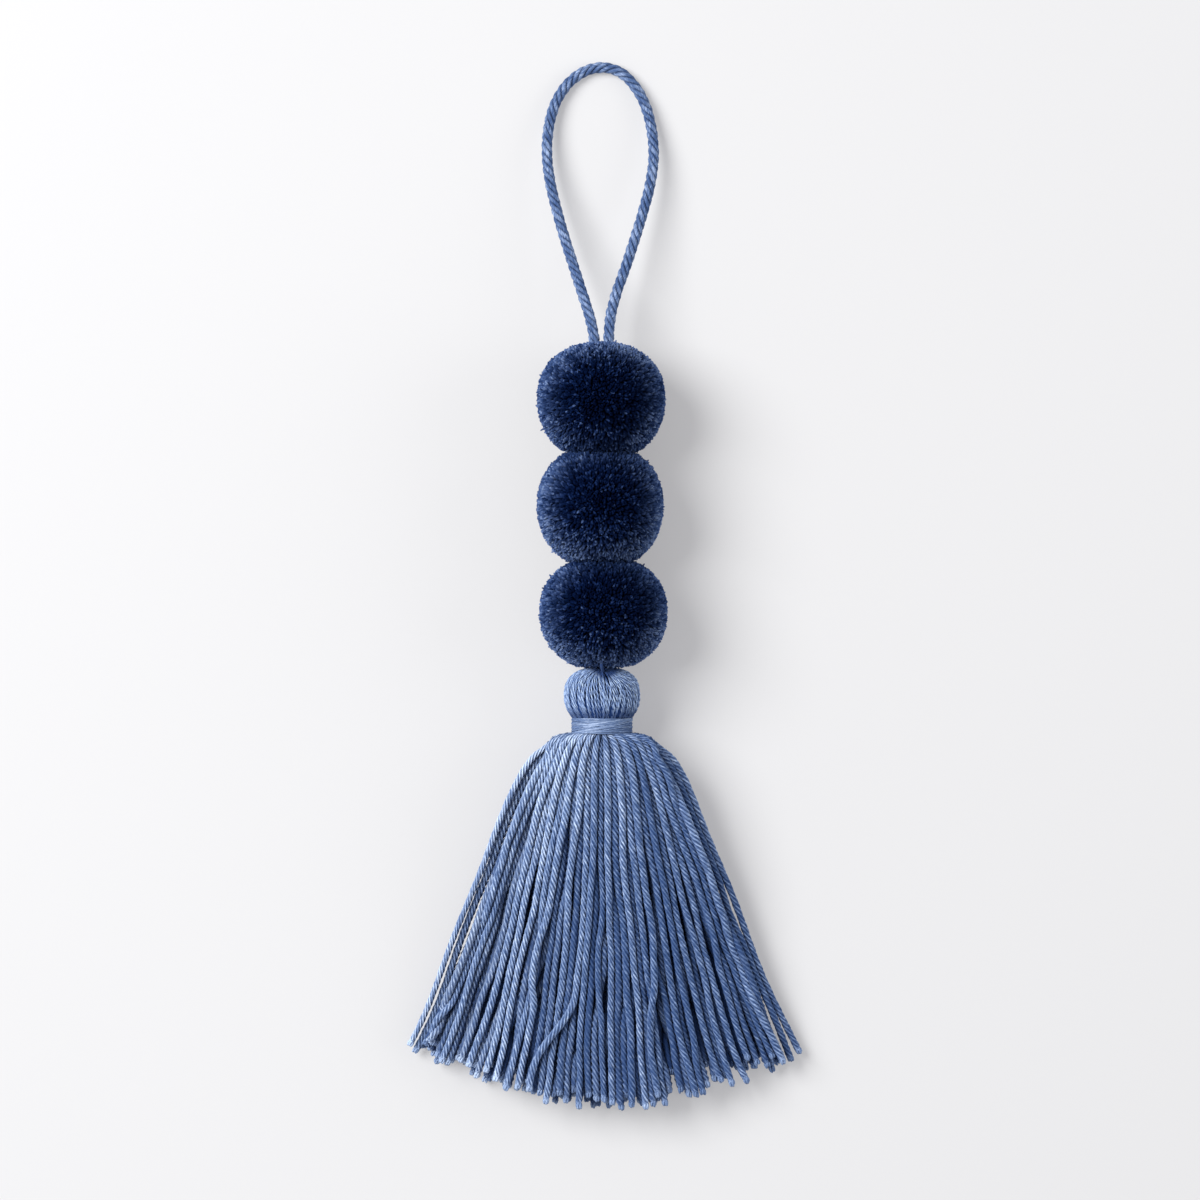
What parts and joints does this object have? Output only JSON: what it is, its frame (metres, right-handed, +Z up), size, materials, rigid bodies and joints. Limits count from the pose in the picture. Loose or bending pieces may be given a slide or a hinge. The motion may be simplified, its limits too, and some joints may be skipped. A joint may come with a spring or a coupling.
{
  "type": "pom pom tassel",
  "caption": "Yarn pom pom tassel: a twisted cord loop threaded through trimmed yarn balls, above a neck-wrapped tassel with a fanned skirt, lying flat.",
  "frame": {"origin": "middle of the flat spot on which the middle ball rests, on the surface", "axes": "+Y runs along the cord from the tassel to the hanging loop, +Z up from the surface, +X to the right"},
  "size_m": [0.1178, 0.3273, 0.0393],
  "materials": {
    "twisted_cord": "matte twisted cotton cord",
    "navy_pile": "matte trimmed wool pile",
    "plied_yarn": "matte plied cotton yarn",
    "wrap_thread": "matte cotton thread"
  },
  "bodies": {
    "root": {"hang_cord": "twisted_cord", "pom_top": "navy_pile", "pom_middle": "navy_pile", "pom_bottom": "navy_pile", "tassel": "plied_yarn", "neck_wrap": "wrap_thread"}
  },
  "joints": []
}
